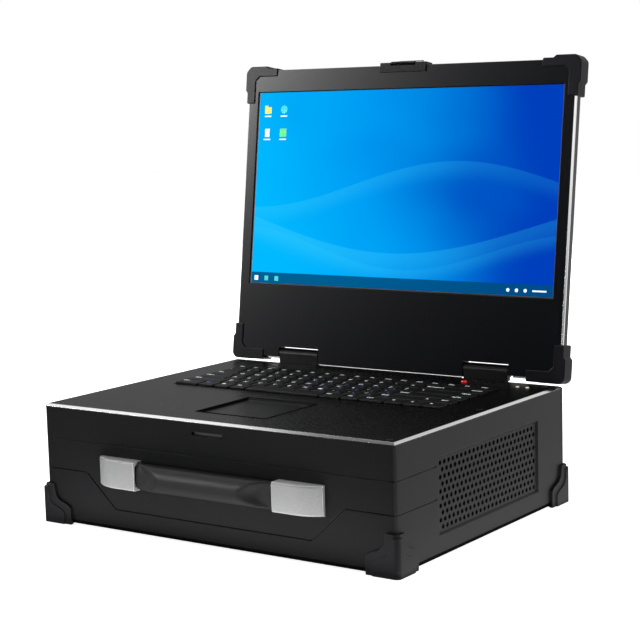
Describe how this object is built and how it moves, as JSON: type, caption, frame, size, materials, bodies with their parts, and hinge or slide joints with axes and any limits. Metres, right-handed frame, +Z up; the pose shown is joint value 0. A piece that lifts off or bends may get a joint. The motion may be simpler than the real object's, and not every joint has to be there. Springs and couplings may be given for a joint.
{
  "type": "rugged portable computer",
  "caption": "Thick rugged portable computer in laptop form: hinged display lid with rubber corners, keyboard deck, carrying handle, perforated side vents and rubber feet.",
  "frame": {"origin": "on the floor, below the middle of the whole object's box with the lid open as shown", "axes": "+Z up, +Y from the front panel towards the rear, +X to the user's right"},
  "size_m": [0.4192, 0.3884, 0.4477],
  "materials": {
    "black_case": "fine matte powder coat",
    "black_deck": "fine matte powder coat",
    "silver_trim": "bright cut chamfer",
    "black_lid": "fine matte powder coat",
    "corner_rubber": "moulded matte rubber",
    "grip_rubber": "smooth satin rubber",
    "satin_silver": "bead blasted satin",
    "key_plastic": "fine matte moulding",
    "keyboard_metal": "black coated steel",
    "hinge_metal": "satin black die casting",
    "bare_steel": "plain zinc plated",
    "latch_black": "matte moulding",
    "display_face": "lit display face",
    "circuit_board": "solder mask",
    "heat_sink_metal": "extruded fins",
    "module_case": "grey sheet steel",
    "fan_plastic": "matte black moulding",
    "red_button": "clear red cap",
    "lamp_lens": "clear lens",
    "screw_steel": "black oxide"
  },
  "bodies": {
    "base": {"bottom_pan": "black_case", "front_panel": "black_case", "side_panel_right": "black_case", "side_panel_left": "black_case", "rear_panel": "black_case", "corner_posts": "black_case", "deck_plate": "black_deck", "deck_trim": "silver_trim", "vent_grille_right": "black_case", "vent_grille_left": "black_case", "foot_front_right": "corner_rubber", "foot_front_left": "corner_rubber", "foot_rear_right": "corner_rubber", "foot_rear_left": "corner_rubber", "handle_cap_right": "satin_silver", "handle_cap_left": "satin_silver", "keyboard_plate": "keyboard_metal", "touchpad_board": "circuit_board", "power_switch": "module_case", "indicator_lamps": "lamp_lens", "hinge_block_right": "hinge_metal", "hinge_block_left": "hinge_metal", "motherboard": "circuit_board", "heat_sink": "heat_sink_metal", "memory_modules": "circuit_board", "power_supply": "module_case", "storage_drive": "module_case", "fan_housing_right": "fan_plastic", "fan_housing_left": "fan_plastic", "expansion_covers": "bare_steel", "port_covers": "corner_rubber", "power_inlet": "fan_plastic", "case_screws": "screw_steel"},
    "lid": {"lid_back_shell": "black_lid", "lid_bezel": "black_lid", "lid_side_trim": "silver_trim", "display_panel": "display_face", "display_board": "circuit_board", "lid_bumper_top_right": "corner_rubber", "lid_bumper_top_left": "corner_rubber", "lid_bumper_foot_right": "corner_rubber", "lid_bumper_foot_left": "corner_rubber", "hinge_leaf_right": "bare_steel", "hinge_leaf_left": "bare_steel", "latch_housing": "latch_black", "latch_pin": "bare_steel"},
    "latch_hook": {"latch_hook": "latch_black"},
    "key_row_bottom": {"key_row_bottom": "key_plastic"},
    "key_row_shift": {"key_row_shift": "key_plastic"},
    "key_row_home": {"key_row_home": "key_plastic"},
    "key_row_letters": {"key_row_letters": "key_plastic"},
    "key_row_numbers": {"key_row_numbers": "key_plastic"},
    "key_row_function": {"key_row_function": "key_plastic"},
    "space_bar": {"space_bar": "key_plastic"},
    "touchpad": {"touchpad": "key_plastic"},
    "power_button": {"power_button": "red_button"},
    "handle_grip": {"handle_grip": "grip_rubber", "handle_strap": "keyboard_metal"},
    "fan_rotor_right": {"fan_rotor_right": "fan_plastic"},
    "fan_rotor_left": {"fan_rotor_left": "fan_plastic"}
  },
  "joints": [
    {"name": "lid_hinge", "type": "hinge", "parent": "base", "child": "lid", "pos_m": [0, 0.13977, 0.12851], "axis": [1, 0, 0], "range_deg": [-32, 97.88]},
    {"name": "latch_pivot", "type": "hinge", "parent": "lid", "child": "latch_hook", "pos_m": [0, 0.17704, 0.44519], "axis": [1, 0, 0], "range_deg": [0, 180]},
    {"name": "key_row_bottom_press", "type": "slide", "parent": "base", "child": "key_row_bottom", "axis": [0, 0, -1], "range_m": [0, 0.0018], "stiffness_N_per_m": 1500, "springref_m": -0.001},
    {"name": "key_row_shift_press", "type": "slide", "parent": "base", "child": "key_row_shift", "axis": [0, 0, -1], "range_m": [0, 0.0018], "stiffness_N_per_m": 1500, "springref_m": -0.001},
    {"name": "key_row_home_press", "type": "slide", "parent": "base", "child": "key_row_home", "axis": [0, 0, -1], "range_m": [0, 0.0018], "stiffness_N_per_m": 1500, "springref_m": -0.001},
    {"name": "key_row_letters_press", "type": "slide", "parent": "base", "child": "key_row_letters", "axis": [0, 0, -1], "range_m": [0, 0.0018], "stiffness_N_per_m": 1500, "springref_m": -0.001},
    {"name": "key_row_numbers_press", "type": "slide", "parent": "base", "child": "key_row_numbers", "axis": [0, 0, -1], "range_m": [0, 0.0018], "stiffness_N_per_m": 1500, "springref_m": -0.001},
    {"name": "key_row_function_press", "type": "slide", "parent": "base", "child": "key_row_function", "axis": [0, 0, -1], "range_m": [0, 0.0018], "stiffness_N_per_m": 1500, "springref_m": -0.001},
    {"name": "space_bar_press", "type": "slide", "parent": "base", "child": "space_bar", "axis": [0, 0, -1], "range_m": [0, 0.0018], "stiffness_N_per_m": 1500, "springref_m": -0.001},
    {"name": "touchpad_click", "type": "slide", "parent": "base", "child": "touchpad", "axis": [0, 0, -1], "range_m": [0, 0.0003], "stiffness_N_per_m": 4000, "springref_m": -0.0002},
    {"name": "power_button_press", "type": "slide", "parent": "base", "child": "power_button", "axis": [0, 0, -1], "range_m": [0, 0.001], "stiffness_N_per_m": 1500, "springref_m": -0.0005},
    {"name": "handle_pull", "type": "slide", "parent": "base", "child": "handle_grip", "axis": [0, -1, 0], "range_m": [0, 0.0025]},
    {"name": "fan_spin_right", "type": "hinge", "parent": "base", "child": "fan_rotor_right", "pos_m": [0.19, -0.01121, 0.057], "axis": [1, 0, 0], "continuous": true},
    {"name": "fan_spin_left", "type": "hinge", "parent": "base", "child": "fan_rotor_left", "pos_m": [-0.19, -0.01121, 0.057], "axis": [1, 0, 0], "continuous": true}
  ]
}
